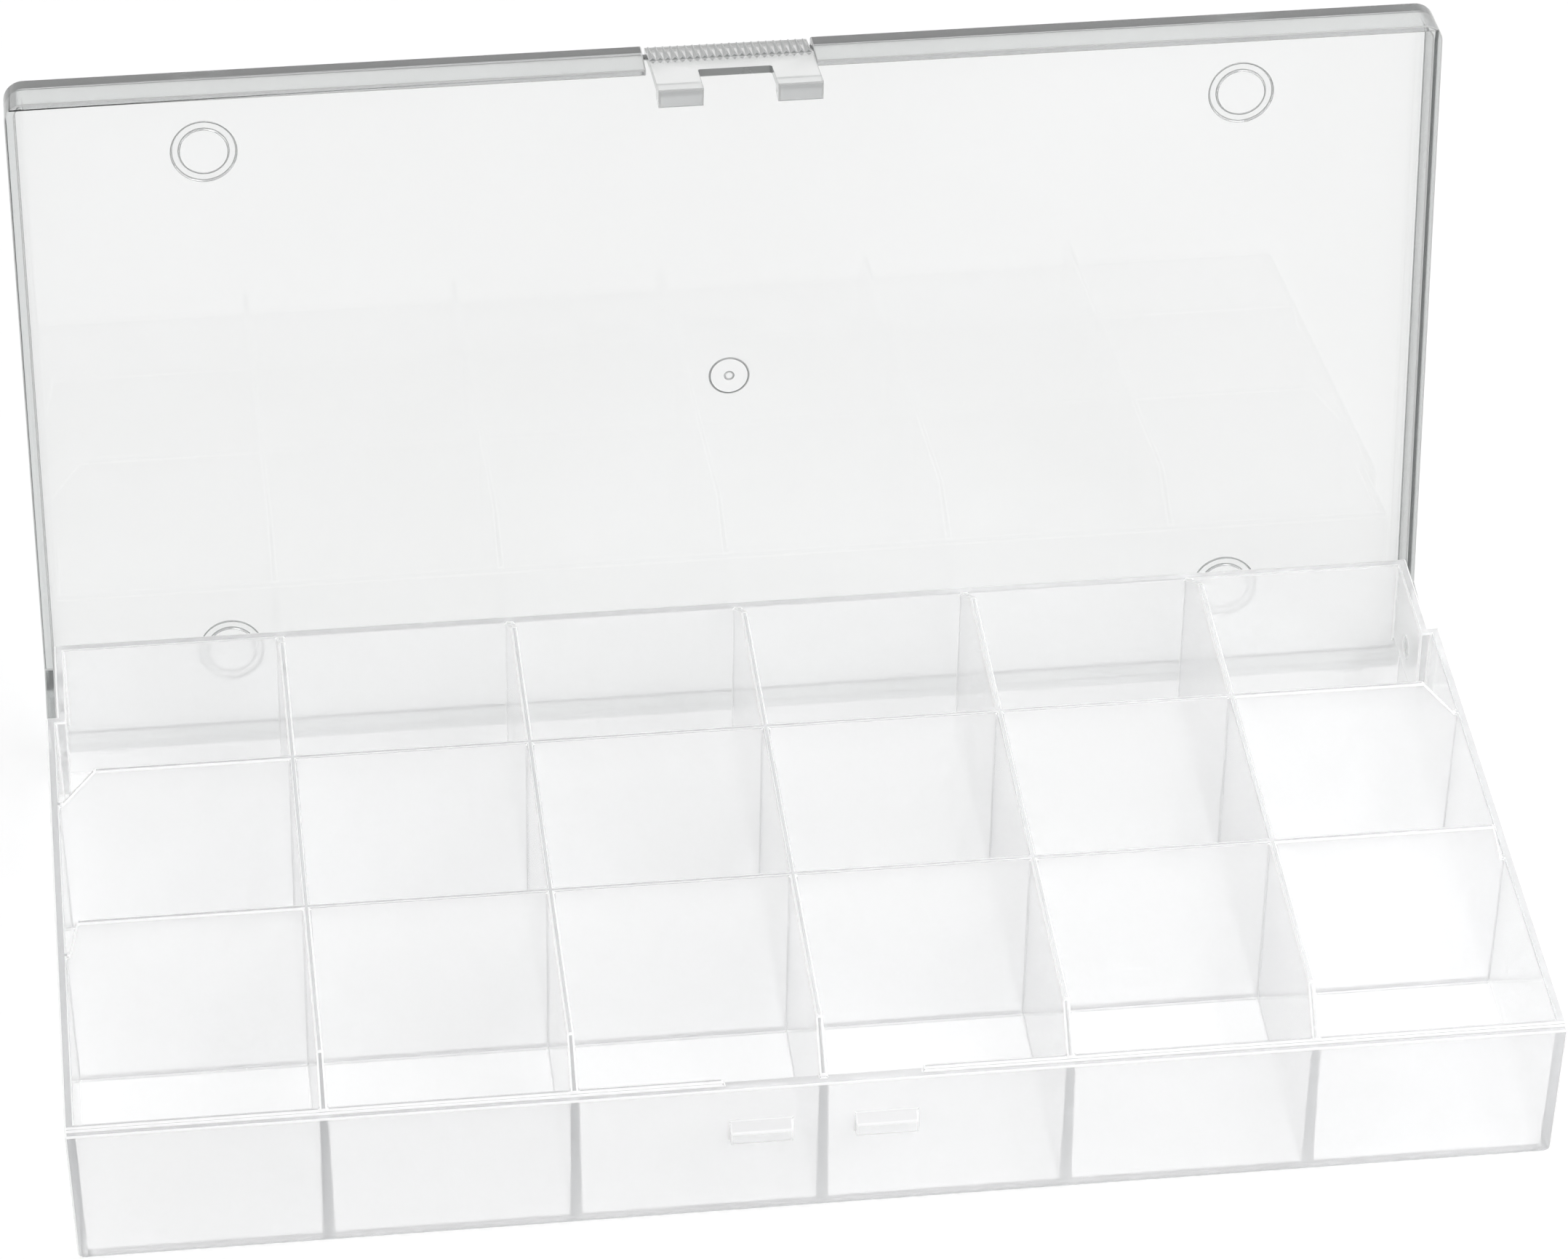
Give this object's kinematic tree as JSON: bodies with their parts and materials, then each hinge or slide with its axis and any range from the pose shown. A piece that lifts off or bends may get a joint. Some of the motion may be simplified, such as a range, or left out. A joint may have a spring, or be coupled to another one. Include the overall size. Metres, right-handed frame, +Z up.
{
  "type": "compartment storage box",
  "caption": "Clear plastic box with fixed dividers that make a grid of small compartments, a lid hinged at the rear on pins and a snap latch at the front.",
  "frame": {"origin": "centre of the tray's underside, on the surface that the box stands on", "axes": "+X along the width to the right seen from the latch side, +Y to the hinge side, +Z up"},
  "size_m": [0.21, 0.1295, 0.1195],
  "materials": {
    "clear_tray": "polished clear",
    "clear_lid": "polished clear",
    "clear_latch": "polished clear"
  },
  "bodies": {
    "tray": {"base_tray": "clear_tray"},
    "lid": {"lid": "clear_lid"},
    "latch": {"latch_tongue": "clear_latch"}
  },
  "joints": [
    {"name": "lid_hinge", "type": "hinge", "parent": "tray", "child": "lid", "pos_m": [0, 0.0455, 0.0153], "axis": [1, 0, 0], "range_deg": [0, 96]},
    {"name": "latch_flex", "type": "hinge", "parent": "lid", "child": "latch", "pos_m": [0, 0.07281, 0.11248], "axis": [-1, 0, 0], "range_deg": [0, 6], "stiffness_Nm_per_rad": 1.5}
  ]
}
